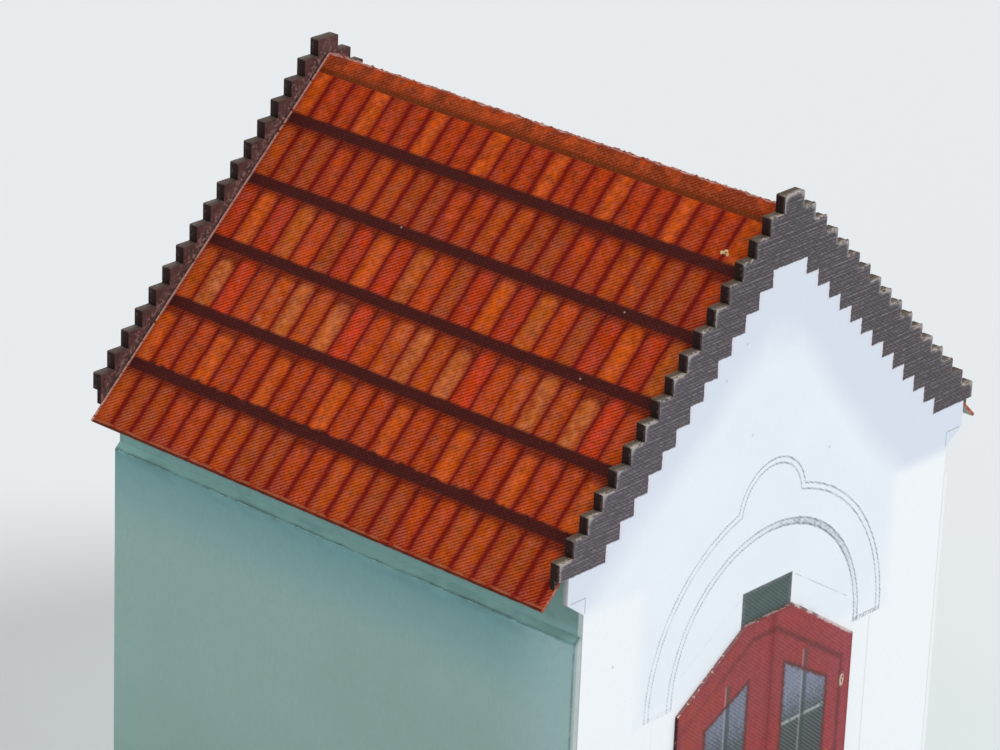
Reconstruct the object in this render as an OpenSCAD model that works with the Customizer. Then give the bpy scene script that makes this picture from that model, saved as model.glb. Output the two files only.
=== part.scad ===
// Wayside chapel as a small card model, about 1:87.
// Two stepped gable cards, two side walls and one folded roof sheet, glued edge to face.
// X runs across the front, Y from the door to the back, Z up from the ground.

/* [Card and paper] */
// Thickness of the card in each gable
gable_card_t = 0.3; // [0.2:0.05:0.8]
// Thickness of the printed sheet glued on each gable
gable_sheet_t = 0.15; // [0.1:0.05:0.3]
// Thickness of the side walls
wall_t = 0.8; // [0.5:0.1:1.2]
// Thickness of the facing on the lower part of each side wall
facing_t = 0.5; // [0.3:0.05:0.8]
// Thickness of the folded roof sheet
roof_t = 0.25; // [0.15:0.05:0.4]
// Thickness of the lining strips behind the gable steps
lining_t = 0.4; // [0.2:0.05:0.6]
// Thickness of the door panel on the front
door_t = 0.3; // [0.2:0.05:0.5]
// Thickness of the glue flaps inside
flap_t = 0.2; // [0.1:0.05:0.3]

/* [Body] */
// Width across the side walls, without their facings
body_w = 42.2; // [38:0.2:44]
// Length over both gables
body_l = 46.8; // [40:0.1:60]
// Height of the facings, which end in a small ledge under the eaves
facing_h = 30.5; // [20:0.5:31]
// Height of the slope on top of that ledge
ledge_drop = 0.5; // [0.1:0.1:1]

/* [Stepped gables] */
// Height of the gables at the top of the cap
gable_h = 58.4; // [56:0.1:62]
// Number of steps on each side of the cap
steps = 16; // [14:1:16]
// Width of one step
step_run = 1.425; // [1.3:0.005:1.45]
// Height of one step
step_rise = 1.335; // [1.2:0.005:1.35]
// Width of the cap on the peak
cap_w = 2.2; // [1.6:0.1:3]
// Radius to which the corners of the steps are worn
corner_r = 0.1; // [0.05:0.05:0.4]
// Width over the two kneelers below the last steps
kneeler_w = 45.8; // [44.4:0.1:46.2]
// Height of a kneeler's upright side
kneeler_h = 2.1; // [1:0.1:2.4]
// Height of the slope from the kneeler back to the wall
kneeler_drop = 1.3; // [0.8:0.1:2]

/* [Roof] */
// Depth below the top of the cap of the line where both slopes would meet
ridge_drop = 1.05; // [0.8:0.05:1.2]
// Width over both eaves
eaves_w = 50.3; // [49:0.1:53]
// Radius of the fold along the ridge, on the outside
fold_r = 0.45; // [0.45:0.05:0.9]
// Gap between the rear edge of the roof and the lining of the back gable
roof_gap = 0.2; // [0.05:0.05:0.5]

/* [Door] */
// Width of the door panel
door_w = 20.6; // [14:0.2:26]
// Height of the door panel
door_h = 25.3; // [22:0.1:27]
// Width of the flat top of the door panel
door_flat = 5.6; // [3:0.1:10]
// Height of the sloping shoulders of the door panel
door_shoulder = 4.9; // [3:0.1:8]
// How far the door panel is glued to the right of the middle
door_shift = 0.15; // [-0.5:0.05:0.5]

/* [Glue flaps] */
// Width of each half of a folded flap
flap_w = 4; // [2:0.5:5]
// Distance from a flap's end to the next piece
flap_gap = 1.5; // [1:0.5:3]
// How far the ends of a flap are cut back towards its free edge
flap_cut = 2; // [0:0.5:3]

/* [Hidden] */

// The door panel stands proud, so the gables sit half its thickness behind the middle
front_y = (door_t - body_l) / 2;
back_y = front_y + body_l;
gable_t = gable_card_t + gable_sheet_t;
inner_front_y = front_y + gable_t;
inner_back_y = back_y - gable_t;

// The roof runs parallel to the steps
pitch = step_rise / step_run;
roof_angle = atan(pitch);
ridge_z = gable_h - ridge_drop;
// Thickness of the roof sheet measured straight down
roof_drop = roof_t / cos(roof_angle);
// Centre of the fold along the ridge
fold_z = ridge_z - fold_r / cos(roof_angle);
last_step_x = cap_w / 2 + steps * step_run;
last_step_z = gable_h - (steps + 1) * step_rise;
wall_in = body_w / 2 - wall_t;
// Straight cuts in each rounded corner and in each half of the fold
arc_cuts = 4;

paper_white = "#eef0f4";
card_grey = "#b9b6ac";
wall_tint = "#a9bdb8";
tile_red = "#b4481e";
slate_brown = "#4a3733";
door_red = "#a33a3c";

// Height of the roof's upper face at a distance x from the ridge
function roof_z(x) = ridge_z - pitch * x;

// Height of the roof's lower face at a distance x from the ridge
function under_z(x) = roof_z(x) - roof_drop;

// Points on an arc about a centre, from straight up through a turn to the right
function arc(x, z, r, turn) = [
    for (i = [0 : arc_cuts])
        [x + r * sin(turn * i / arc_cuts), z + r * cos(turn * i / arc_cuts)]
];

function reversed(points) = [for (i = [len(points) - 1 : -1 : 0]) points[i]];

// A point list turned over to the left, in reverse order and without points on the middle
function mirrored(points) = [for (p = reversed(points)) if (p[0] > 0) [-p[0], p[1]]];

// One step: its worn corner, then the foot of its riser
function step(x, z) = concat(
    arc(x - corner_r, z - corner_r, corner_r, 90),
    [[x, z - step_rise]]
);

// The flight of steps on the right, from the cap down to the foot of the last step
function step_points() = [
    for (k = [0 : steps]) each step(cap_w / 2 + k * step_run, gable_h - k * step_rise)
];

// The bend of the roof sheet on the right, at a radius r from the centre of the fold
function fold(r) = arc(0, fold_z, r, roof_angle);

// A flat outline in X and Z, made a slab that starts at y0 and is t thick
module slab(y0, t) {
    translate([0, y0 + t, 0])
        rotate([90, 0, 0])
            linear_extrude(t) children();
}

// The right edge of a gable, from the cap down to the ground
function gable_edge() = concat(
    step_points(),
    [
        [kneeler_w / 2, last_step_z],
        [kneeler_w / 2, last_step_z - kneeler_h],
        [body_w / 2, last_step_z - kneeler_h - kneeler_drop],
        [body_w / 2, 0]
    ]
);

// An outline from the points of its right half, which run round from the top
module symmetric(points) {
    polygon(concat(points, mirrored(points)));
}

module gable(y0, t) {
    slab(y0, t) symmetric(gable_edge());
}

// Half of the strip behind the steps, cut along the roof or sunk below its upper face
module half_lining(sunk) {
    polygon(concat(
        [[0, gable_h]],
        step_points(),
        [[last_step_x, roof_z(last_step_x) - sunk / cos(roof_angle)]],
        reversed(fold(fold_r - sunk))
    ));
}

// The front linings stand on the roof, and the back ones reach down behind its rear edge
module lining(end, side) {
    color(slate_brown)
        slab(end < 0 ? inner_front_y : inner_back_y - lining_t, lining_t)
            mirror([side < 0 ? 1 : 0, 0])
                half_lining(end < 0 ? 0 : roof_t);
}

// A side wall with its top cut to the slope of the roof
module wall_card(side) {
    color(wall_tint)
        slab(inner_front_y, body_l - 2 * gable_t)
            mirror([side < 0 ? 1 : 0, 0])
                polygon([
                    [wall_in, 0], [body_w / 2, 0],
                    [body_w / 2, under_z(body_w / 2)], [wall_in, under_z(wall_in)]
                ]);
}

// The facing also covers the cut edges of both gables
module wall_facing(side) {
    inner_x = body_w / 2;
    outer_x = inner_x + facing_t;
    color(wall_tint)
        slab(front_y, body_l)
            mirror([side < 0 ? 1 : 0, 0])
                polygon([
                    [inner_x, 0], [outer_x, 0],
                    [outer_x, facing_h - ledge_drop], [inner_x, facing_h]
                ]);
}

// The right half of the roof sheet, from the ridge to the eave and back below
function roof_half() = let (eave_x = eaves_w / 2, eave_z = roof_z(eaves_w / 2))
    concat(
        fold(fold_r),
        [[eave_x, eave_z]],
        // The eave is cut square to the face of the sheet
        [[eave_x - roof_t * sin(roof_angle), eave_z - roof_t * cos(roof_angle)]],
        reversed(fold(fold_r - roof_t))
    );

// One sheet, folded along the ridge, from the front gable to just short of the back one
module roof_sheet() {
    color(tile_red)
        slab(inner_front_y, inner_back_y - lining_t - roof_gap - inner_front_y)
            symmetric(roof_half());
}

module door_panel() {
    shoulder_z = door_h - door_shoulder;
    color(door_red)
        translate([door_shift, front_y - door_t, 0])
            slab(0, door_t)
                symmetric([[door_flat / 2, door_h], [door_w / 2, shoulder_z], [door_w / 2, 0]]);
}

// One leaf of a glue flap: its fold lies on the Y axis, and its ends are cut back
module leaf(length) {
    polygon([[0, 0], [flap_w, flap_cut], [flap_w, length - flap_cut], [0, length]]);
}

// A flap in the corner between a gable and a side wall
module corner_flap(end, side) {
    length = facing_h - flap_gap;
    color(paper_white)
        mirror([side < 0 ? 1 : 0, 0, 0])
            translate([wall_in, end < 0 ? inner_front_y : inner_back_y, flap_gap])
                mirror([0, end < 0 ? 0 : 1, 0]) {
                    slab(0, flap_t) mirror([1, 0]) leaf(length);
                    translate([-flap_t, 0, 0])
                        rotate([90, 0, 90]) linear_extrude(flap_t) leaf(length);
                }
}

// A flap under the roof along the top of a side wall
module eave_flap(side) {
    length = body_l - 2 * (gable_t + flap_gap);
    color(paper_white)
        mirror([side < 0 ? 1 : 0, 0, 0])
            translate([wall_in, inner_front_y + flap_gap, under_z(wall_in)]) {
                translate([-flap_t, 0, 0])
                    rotate([0, 90, 0]) linear_extrude(flap_t) leaf(length);
                rotate([0, 180 + roof_angle, 0]) linear_extrude(flap_t) leaf(length);
            }
}

// A flap under the roof along a gable
module verge_flap(end, side) {
    top_x = flap_w;
    length = (wall_in - flap_w - flap_gap - top_x) / cos(roof_angle);
    color(paper_white)
        mirror([side < 0 ? 1 : 0, 0, 0])
            translate([top_x, end < 0 ? inner_front_y : inner_back_y, under_z(top_x)])
                mirror([0, end < 0 ? 0 : 1, 0])
                    rotate([0, roof_angle, 0]) {
                        slab(0, flap_t) rotate(-90) leaf(length);
                        translate([0, 0, -flap_t])
                            linear_extrude(flap_t) mirror([0, 1]) rotate(-90) leaf(length);
                    }
}

module front_gable_card() { color(card_grey) gable(front_y + gable_sheet_t, gable_card_t); }
module front_gable_sheet() { color(paper_white) gable(front_y, gable_sheet_t); }
module back_gable_card() { color(card_grey) gable(inner_back_y, gable_card_t); }
module back_gable_sheet() { color(paper_white) gable(back_y - gable_sheet_t, gable_sheet_t); }

front_gable_card();
front_gable_sheet();
back_gable_card();
back_gable_sheet();
wall_card(-1);  // left_wall_card
wall_card(1);  // right_wall_card
wall_facing(-1);  // left_wall_facing
wall_facing(1);  // right_wall_facing
roof_sheet();
lining(-1, -1);  // front_left_lining
lining(-1, 1);  // front_right_lining
lining(1, -1);  // back_left_lining
lining(1, 1);  // back_right_lining
door_panel();
corner_flap(-1, -1);  // front_left_corner_flap
corner_flap(-1, 1);  // front_right_corner_flap
corner_flap(1, -1);  // back_left_corner_flap
corner_flap(1, 1);  // back_right_corner_flap
eave_flap(-1);  // left_eave_flap
eave_flap(1);  // right_eave_flap
verge_flap(-1, -1);  // front_left_verge_flap
verge_flap(-1, 1);  // front_right_verge_flap
verge_flap(1, -1);  // back_left_verge_flap
verge_flap(1, 1);  // back_right_verge_flap
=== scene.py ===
# %% [markdown]
# A wayside chapel, built as a small card model and about six centimetres tall.
# Two stepped gables stand on two side walls, and one printed sheet, folded along the ridge,
# is the roof. Nearly everything that catches the eye is ink on paper: tiles, slates, a door
# and the outline of an arch. So this scene has few new shapes and many inks. The card
# itself comes from the packed model, already cut to size, and is never moved here.

# %% Load the packed model
import math
import random

import bmesh
import bpy
from mathutils import Matrix, Vector


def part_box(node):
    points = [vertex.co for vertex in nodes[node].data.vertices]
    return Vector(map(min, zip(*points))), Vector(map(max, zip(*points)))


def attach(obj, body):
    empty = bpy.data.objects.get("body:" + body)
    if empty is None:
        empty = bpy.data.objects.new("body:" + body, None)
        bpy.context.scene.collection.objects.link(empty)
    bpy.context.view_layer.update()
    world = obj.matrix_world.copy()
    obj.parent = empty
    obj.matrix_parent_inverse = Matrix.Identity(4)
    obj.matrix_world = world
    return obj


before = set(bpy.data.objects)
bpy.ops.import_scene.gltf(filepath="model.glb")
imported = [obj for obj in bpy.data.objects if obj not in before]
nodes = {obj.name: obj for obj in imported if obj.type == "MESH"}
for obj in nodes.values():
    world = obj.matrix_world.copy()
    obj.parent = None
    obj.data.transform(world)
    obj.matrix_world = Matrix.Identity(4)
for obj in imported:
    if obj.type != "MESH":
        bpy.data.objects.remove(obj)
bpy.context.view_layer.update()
MM = 0.001

# %% [markdown]
# The inks have to land on the card, so the places of the print are worked out from the
# pieces. Everything is read in millimetres, the unit that a card modeller draws in.
# The few sizes below that the pieces don't show are those of the stepped outline.

# %% Read the sizes of the card
def corners(node):
    """Lowest and highest corner of a piece of card, in millimetres."""
    low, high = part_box(node)
    return Vector(low) / MM, Vector(high) / MM


sheet_low, sheet_high = corners("front_gable_sheet")
roof_low, roof_high = corners("roof_sheet")
door_low, door_high = corners("door_panel")
facing_low, facing_high = corners("left_wall_facing")

FRONT_FACE = sheet_low.y
BACK_FACE = corners("back_gable_sheet")[1].y
WALL_HALF = -corners("left_wall_card")[0].x
PEAK = sheet_high.z
STEP_RUN = 1.425
STEP_RISE = 1.335
CAP_HALF = 1.1
STEPS = 16
SLOPE = STEP_RISE / STEP_RUN
PITCH = math.atan(SLOPE)
SLOPE_COS = math.cos(PITCH)
RIDGE = 57.35
LEDGE = facing_high.z
LEDGE_FOOT = LEDGE - 0.5
print("gable faces at", round(FRONT_FACE, 2), "and", round(BACK_FACE, 2), "mm")
print("walls at", round(WALL_HALF, 2), "mm from the middle")
print("peak at", round(PEAK, 2), "mm, ledge at", round(LEDGE, 2), "mm, slope", round(SLOPE, 3))

# %% [markdown]
# The picture is taken with a long lens, from the left of the door and from above. A long
# lens keeps upright edges nearly parallel, as in a close portrait of a small thing. The
# camera is placed by a line of sight: two angles, a slight roll, and a distance to a point
# in the middle of the chapel that has to fall on a known spot of the picture.

# %% Camera
PICTURE = (1000, 750)
FOCAL_PIXELS = 4480.7
SENSOR = 36.0
AIM = Vector((0, 0, 30))
AIM_PIXEL = (533.83, 461.54)
DISTANCE = 342.34
AZIMUTH, ELEVATION, ROLL = (math.radians(a) for a in (-48.932, 22.907, 2.339))


def place_camera():
    """A camera whose picture shows AIM at AIM_PIXEL."""
    towards_camera = Vector((
        math.sin(AZIMUTH) * math.cos(ELEVATION),
        -math.cos(AZIMUTH) * math.cos(ELEVATION),
        math.sin(ELEVATION),
    ))
    level_right = (-towards_camera).cross(Vector((0, 0, 1))).normalized()
    level_up = level_right.cross(-towards_camera)
    right = math.cos(ROLL) * level_right + math.sin(ROLL) * level_up
    up = math.cos(ROLL) * level_up - math.sin(ROLL) * level_right
    aside = (AIM_PIXEL[0] - PICTURE[0] / 2) / FOCAL_PIXELS * DISTANCE
    above = (PICTURE[1] / 2 - AIM_PIXEL[1]) / FOCAL_PIXELS * DISTANCE
    place = AIM - right * aside - up * above + towards_camera * DISTANCE
    turn = Matrix((right, up, towards_camera)).transposed().to_4x4()
    camera_data = bpy.data.cameras.new("camera")
    camera_data.sensor_width = SENSOR
    camera_data.lens = FOCAL_PIXELS / PICTURE[0] * SENSOR
    camera_data.clip_start = 0.01
    camera = bpy.data.objects.new("camera", camera_data)
    bpy.context.scene.collection.objects.link(camera)
    camera.matrix_world = Matrix.Translation(place * MM) @ turn
    bpy.context.scene.camera = camera
    return camera


camera = place_camera()
print("lens", round(camera.data.lens, 1), "mm, camera at", [round(v / MM) for v in camera.location])

# %% [markdown]
# Paper colours are judged in this light, so the light has to be plain: a pale sky all round, a
# large soft sun from the front and above, and a weak one from behind that keeps the back
# readable. The shaded wall then comes out about a third darker than the front, which is
# what makes the little block look solid. The floor is pale and matt and keeps the shadow.

# %% Light and floor
SKY = 0.56
FLOOR_GREY = (0.74, 0.77, 0.79, 1)
SUNS = {
    # name: (direction towards the sun, strength, angular size in degrees)
    "key": ((0.12, -0.62, 0.77), 1.5, 25),
    "back_fill": ((0.45, 0.62, 0.64), 0.7, 40),
}


def add_sun(name, towards, strength, spread):
    """A sun with soft-edged shadows."""
    sun = bpy.data.lights.new(name, "SUN")
    sun.energy = strength
    sun.angle = math.radians(spread)
    lamp = bpy.data.objects.new(name, sun)
    bpy.context.scene.collection.objects.link(lamp)
    lamp.rotation_euler = Vector(towards).to_track_quat("Z", "Y").to_euler()


for sun_name, (towards, strength, spread) in SUNS.items():
    add_sun(sun_name, towards, strength, spread)
world = bpy.data.worlds.new("studio")
bpy.context.scene.world = world
world.use_nodes = True
sky = world.node_tree.nodes["Background"]
sky.inputs["Color"].default_value = (1, 1, 1, 1)
sky.inputs["Strength"].default_value = SKY
bpy.context.scene.view_settings.view_transform = "Standard"


def deselect():
    """Nothing stays selected, so that the next operator acts on new shapes alone."""
    if bpy.context.mode != "OBJECT":
        bpy.ops.object.mode_set(mode="OBJECT")
    bpy.ops.object.select_all(action="DESELECT")


deselect()
bpy.ops.mesh.primitive_plane_add(size=4, location=(0, 0, 0))
floor = bpy.context.object
floor.name = "floor"
floor_paint = bpy.data.materials.new("floor_paint")
floor_paint.use_nodes = True
floor_shader = floor_paint.node_tree.nodes["Principled BSDF"]
floor_shader.inputs["Base Color"].default_value = FLOOR_GREY
floor_shader.inputs["Roughness"].default_value = 0.9
floor.data.materials.append(floor_paint)

# %% [markdown]
# A printed sheet could be a picture wrapped over the card, but a drawn print is better
# here: it stays sharp at any size, and each line can be set in millimetres. A shader can
# draw like that when its nodes are read as sums. So a small helper is made first: a Mark is
# a number that changes over the sheet, and marks can be added, compared and blurred. Each
# sign between two marks makes one node.

# %% Marks
class Mark:
    """A number that changes over a surface. Comparisons give 1 where they hold, else 0."""

    def __init__(self, finish, socket):
        self.finish, self.socket = finish, socket

    def work(self, operation, *others):
        sum_node = self.finish.node("ShaderNodeMath", operation=operation)
        for slot, value in enumerate((self, *others)):
            self.finish.join(value, sum_node.inputs[slot])
        return Mark(self.finish, sum_node.outputs[0])

    def __add__(self, other): return self.work("ADD", other)
    def __radd__(self, other): return self.work("ADD", other)
    def __sub__(self, other): return self.work("SUBTRACT", other)
    def __rsub__(self, other): return self.work("MULTIPLY", -1).work("ADD", other)
    def __mul__(self, other): return self.work("MULTIPLY", other)
    def __rmul__(self, other): return self.work("MULTIPLY", other)
    def __truediv__(self, other): return self.work("DIVIDE", other)
    def __mod__(self, other): return self.work("FLOORED_MODULO", other)
    def __abs__(self): return self.work("ABSOLUTE")
    def __lt__(self, other): return self.work("LESS_THAN", other)
    def __gt__(self, other): return self.work("GREATER_THAN", other)
    def __and__(self, other): return self.work("MULTIPLY", other)
    def __or__(self, other): return self.work("MAXIMUM", other)

    def floor(self): return self.work("FLOOR")
    def ceil(self): return self.work("CEIL")
    def cos(self): return self.work("COSINE")
    def least(self, other): return self.work("MINIMUM", other)
    def most(self, other): return self.work("MAXIMUM", other)
    def outside(self): return 1 - self

    def rise(self, low, high):
        """Climbs softly from 0 at low to 1 at high."""
        ramp = self.finish.node("ShaderNodeMapRange", interpolation_type="SMOOTHSTEP")
        self.finish.join(self, ramp.inputs["Value"])
        ramp.inputs["From Min"].default_value = low
        ramp.inputs["From Max"].default_value = high
        return Mark(self.finish, ramp.outputs["Result"])

    def fall(self, low, high):
        """Drops softly from 1 at low to 0 at high."""
        return self.rise(low, high).outside()

    def stroke(self, width, blur=0.05):
        """A line of ink where this number is near 0."""
        return abs(self).fall(width / 2 - blur / 2, width / 2 + blur / 2)

    def between(self, low, high, blur=0.05):
        """Filled from low to high, with slightly soft edges."""
        return self.rise(low - blur / 2, low + blur / 2) & self.fall(high - blur / 2, high + blur / 2)


def distance(a, b):
    """How far a point is from the middle, from its two parts."""
    return (a * a + b * b).work("SQRT")


print("a mark can be worked with in", sum(callable(way) for way in vars(Mark).values()), "ways")

# %% [markdown]
# A Tone is a colour that changes over the sheet. Laying an ink on it is one mix node: the
# mark says where, and how strongly, the new ink covers the old one. Shading makes a tone
# lighter or darker, and a mottle does that in clouds, since no printed paper is quite even.
# Inks are written as six-figure codes, which a shader needs as three plain amounts of light.

# %% Inks and tones
# A mix node has slots for numbers, vectors and colours; these are the ones for colours
MIX_INPUTS = (0, 6, 7)
MIX_OUTPUT = 2


def ink(code):
    """A colour from its six-figure code, as the shader wants it."""
    parts = [int(code[i:i + 2], 16) / 255 for i in (1, 3, 5)]
    return tuple(c / 12.92 if c <= 0.04045 else ((c + 0.055) / 1.055) ** 2.4 for c in parts) + (1,)


class Tone:
    """A colour that changes over a surface."""

    def __init__(self, finish, socket):
        self.finish, self.socket = finish, socket

    def lay(self, mark, colour):
        """Ink of another colour wherever the mark is 1."""
        mix = self.finish.node("ShaderNodeMix", data_type="RGBA")
        for value, slot in zip((mark, self, colour), MIX_INPUTS):
            self.finish.join(value, mix.inputs[slot])
        return Tone(self.finish, mix.outputs[MIX_OUTPUT])

    def shade(self, mark):
        """Lighter or darker by a factor."""
        scale = self.finish.node("ShaderNodeVectorMath", operation="SCALE")
        self.finish.join(self, scale.inputs[0])
        self.finish.join(mark, scale.inputs["Scale"])
        return Tone(self.finish, scale.outputs[0])

    def mottle(self, size, spread, **kind):
        """Lighter and darker in clouds, by half of the spread each way."""
        return self.shade(1 - spread / 2 + self.finish.cloud(size, **kind) * spread)


print("a middle grey is", [round(c, 2) for c in ink("#808080")[:3]], "to the shader")

# %% [markdown]
# A Finish holds the surface of one kind of card. It offers the place on the card in
# millimetres and which way the surface faces, so a cut edge can look different from the
# printed side. It also has what every paper needs: clouds, fibres, flecks where the print is
# rubbed off, and a very fine bump. Ink soaks into paper, so the gloss is kept low.

# %% A finish for card and paper
FIBRE_SIZE = 0.22
GRAIN_HEIGHT = 0.04
ROUGHNESS_SPREAD = 0.25


class Finish:
    """One kind of printed card: its pattern, its gloss and its grain."""

    def __init__(self, name):
        self.material = bpy.data.materials.new(name)
        self.material.use_nodes = True
        self.tree = self.material.node_tree
        self.shader = self.tree.nodes["Principled BSDF"]
        metres = self.node("ShaderNodeTexCoord").outputs["Object"]
        scale = self.node("ShaderNodeVectorMath", operation="SCALE")
        self.join(metres, scale.inputs[0])
        scale.inputs["Scale"].default_value = 1 / MM
        self.place = scale.outputs[0]
        self.x, self.y, self.z = self.parts(self.place)
        self.facing_x, self.facing_y, self.facing_z = self.parts(
            self.node("ShaderNodeNewGeometry").outputs["True Normal"]
        )

    def node(self, kind, **settings):
        made = self.tree.nodes.new(kind)
        for setting, value in settings.items():
            setattr(made, setting, value)
        return made

    def join(self, value, socket):
        """Links a mark, a tone or a socket, or writes a plain value or the code of an ink."""
        if isinstance(value, (Mark, Tone)):
            value = value.socket
        if isinstance(value, str):
            value = ink(value)
        if isinstance(value, bpy.types.NodeSocket):
            self.tree.links.new(value, socket)
        elif socket.type == "VECTOR" and not isinstance(value, (int, float)):
            socket.default_value = value[:3]
        else:
            socket.default_value = value

    def parts(self, vector):
        split = self.node("ShaderNodeSeparateXYZ")
        self.join(vector, split.inputs[0])
        return [Mark(self, output) for output in split.outputs]

    def vector(self, a, b, c):
        combined = self.node("ShaderNodeCombineXYZ")
        for value, socket in zip((a, b, c), combined.inputs):
            self.join(value, socket)
        return combined.outputs[0]

    def cloud(self, size, detail=3, stretch=(1, 1, 1), seed=0.0):
        """Soft patches about size millimetres across, as a number round 0.5."""
        apart = (seed * 17.3, seed * 5.1, seed * 9.7)
        moved = self.node("ShaderNodeVectorMath", operation="MULTIPLY_ADD")
        self.join(self.place, moved.inputs[0])
        moved.inputs[1].default_value = stretch
        moved.inputs[2].default_value = apart
        noise = self.node("ShaderNodeTexNoise")
        self.join(moved.outputs[0], noise.inputs["Vector"])
        noise.inputs["Scale"].default_value = 1 / size
        noise.inputs["Detail"].default_value = detail
        return Mark(self, noise.outputs[0])

    def sway(self, size, reach, **kind):
        """Clouds as a number round 0, which makes a line waver by half of its reach each way."""
        return (self.cloud(size, **kind) - 0.5) * reach

    def tone(self, code):
        """One ink all over the card."""
        return Tone(self, code)

    def even(self, number):
        """One number all over the card, where a mark is asked for."""
        return self.x * 0 + number

    def chance(self, a, b, seed=0.0):
        """A number from 0 to 1 that is the same for the same pair of whole numbers."""
        white = self.node("ShaderNodeTexWhiteNoise", noise_dimensions="3D")
        self.join(self.vector(a, b, seed), white.inputs["Vector"])
        return Mark(self, white.outputs["Value"])

    def complete(self, tone, roughness=0.6, grain=0.25, gloss=0.12):
        """Sets the colour, a roughness that varies with the fibres, and the grain's bump."""
        self.join(tone, self.shader.inputs["Base Color"])
        fibres = self.cloud(FIBRE_SIZE, seed=3)
        self.join(roughness + (fibres - 0.5) * ROUGHNESS_SPREAD, self.shader.inputs["Roughness"])
        self.shader.inputs["Specular IOR Level"].default_value = gloss
        bump = self.node("ShaderNodeBump")
        bump.inputs["Strength"].default_value = 0.5
        bump.inputs["Distance"].default_value = GRAIN_HEIGHT * MM
        self.join(fibres * grain, bump.inputs["Height"])
        self.join(bump.outputs[0], self.shader.inputs["Normal"])
        return self.material


print("grain of the paper:", FIBRE_SIZE, "mm wide, up to", GRAIN_HEIGHT, "mm high")

# %% [markdown]
# The card keeps the mesh that it was cut to. The plain finish that it came with is cleared,
# and the new one takes its place.

# %% Dressing a piece of card
def dress(node, material):
    """A piece of card keeps its mesh and gets its finish."""
    materials = nodes[node].data.materials
    materials.clear()
    materials.append(material)


# %% [markdown]
# Old colour printing lays ink as rows of tiny dots, two sets of rows that cross. With about
# four rows to the millimetre they are still seen with a naked eye, as a slanting weave over
# the tiles and the door. What shines through between the rows is the paper, tinted by the
# ink around it. So the weave is a mark that lays a paler ink, and not a change of shadow.

# %% The dot screen of the print
DOTS_ACROSS = 2.42
DOTS_DOWN = 3.05
FULL_TURN = 2 * math.pi


def dot_rows(across, down, main, crossing=0.0):
    """Where paper shows between the rows of dots: 0 on full ink, main + crossing at most."""
    rows = ((across * DOTS_ACROSS + down * DOTS_DOWN) * FULL_TURN).cos() * 0.5 + 0.5
    if not crossing:
        return rows * main
    others = ((across * DOTS_ACROSS - down * DOTS_DOWN) * FULL_TURN).cos() * 0.5 + 0.5
    return rows * main + others * crossing


print("rows of dots are", round(1 / math.hypot(DOTS_ACROSS, DOTS_DOWN), 3), "mm apart")

# %% [markdown]
# The roof sheet shows six courses of clay tiles under a ridge course. To draw them, each
# point of the sheet is told which tile it lies in and how far from that tile's side and top.
# Whole numbers do that: the part before the decimal point of "distance over tile width" is
# the column, and the part behind it is the place inside. A little cloud is added first, so
# that no edge is as straight as a ruler.

# %% Where a point lies among the tiles
PATTERN_COLUMNS = 6
PATTERN_COURSES = 4
TILE = 2.03
FIRST_GAP = 0.05
COURSE = 5.7
COURSE_TOP = 0.85
LAST_COURSE = 5
TILE_LENGTH = 4.75


class TilePlace:
    """The column, the course and the place inside one printed tile, in millimetres."""

    def __init__(self, finish):
        self.along = roof_high.y - finish.y
        self.down = abs(finish.x) / SLOPE_COS
        lean = finish.sway(1.3, 0.3, detail=2, seed=1) + finish.sway(0.3, 0.16, detail=2, seed=34)
        wave = finish.sway(1.6, 0.16, detail=2, seed=2)
        columns = (self.along + FIRST_GAP + lean) / TILE
        courses = (self.down + wave - COURSE_TOP) / COURSE
        self.column = columns.floor()
        self.course = courses.floor()
        self.side = (columns - self.column) * TILE
        self.depth = (courses - self.course) * COURSE
        self.to_gap = TILE / 2 - abs(self.side - TILE / 2)
        self.pattern_course = self.course % PATTERN_COURSES
        pattern_column = self.column % PATTERN_COLUMNS
        self.each_course = [abs(self.pattern_course - k) < 0.5 for k in range(PATTERN_COURSES)]
        self.each_column = [abs(pattern_column - k) < 0.5 for k in range(PATTERN_COLUMNS)]

    def columns(self, *which):
        """Some of the six columns of the pattern."""
        mark = self.each_column[which[0]]
        for k in which[1:]:
            mark = mark | self.each_column[k]
        return mark

    def tiles(self, course, *columns):
        """Some of the tiles in one of the four courses of the pattern."""
        return self.each_course[course] & self.columns(*columns)


print("tiles along the roof:", round((roof_high.y - roof_low.y) / TILE, 1))

# %% [markdown]
# The print repeats after six tiles and four courses, which is how such sheets were drawn:
# by hand for one patch, then set side by side. So a tile's ink follows from its place in
# that patch. The inks are strong and dark, because the paper between the dots lightens
# them. A few tiles start lower or have a dark wedge at the foot, as clay tiles that slipped.

# %% Inks of the tiles
CLAY = {
    "brown": "#902400",
    "bright": "#ab3f00",
    "ember": "#9b2900",
    "ochre": "#953400",
    "dull": "#7c2907",
    "red": "#920400",
    "olive": "#9b4307",
    "sand": "#9f4d1c",
    "vivid": "#a80f00",
}
GLIMPSE = "#ff8020"
GLIMPSE_PINK = "#ff8c5a"
GAP = "#860e02"
GAP_EDGE = "#7a0a12"
GAP_CORE = "#660208"
UNDER_LAP = "#590806"
SHADOW = "#3f1411"
PATTERN = (
    # course of the pattern, its columns, their clay; all other tiles are brown
    (0, (0, 3), "bright"),
    (1, (0, 5), "ochre"),
    (1, (1, 2), "dull"),
    (1, (3,), "ember"),
    (2, (0, 2), "red"),
    (2, (1,), "bright"),
    (2, (3,), "olive"),
    (2, (4,), "ember"),
    (2, (5,), "dull"),
    (3, (0, 4), "ochre"),
    (3, (1, 5), "sand"),
    (3, (2,), "vivid"),
    (3, (3,), "ember"),
)


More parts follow.
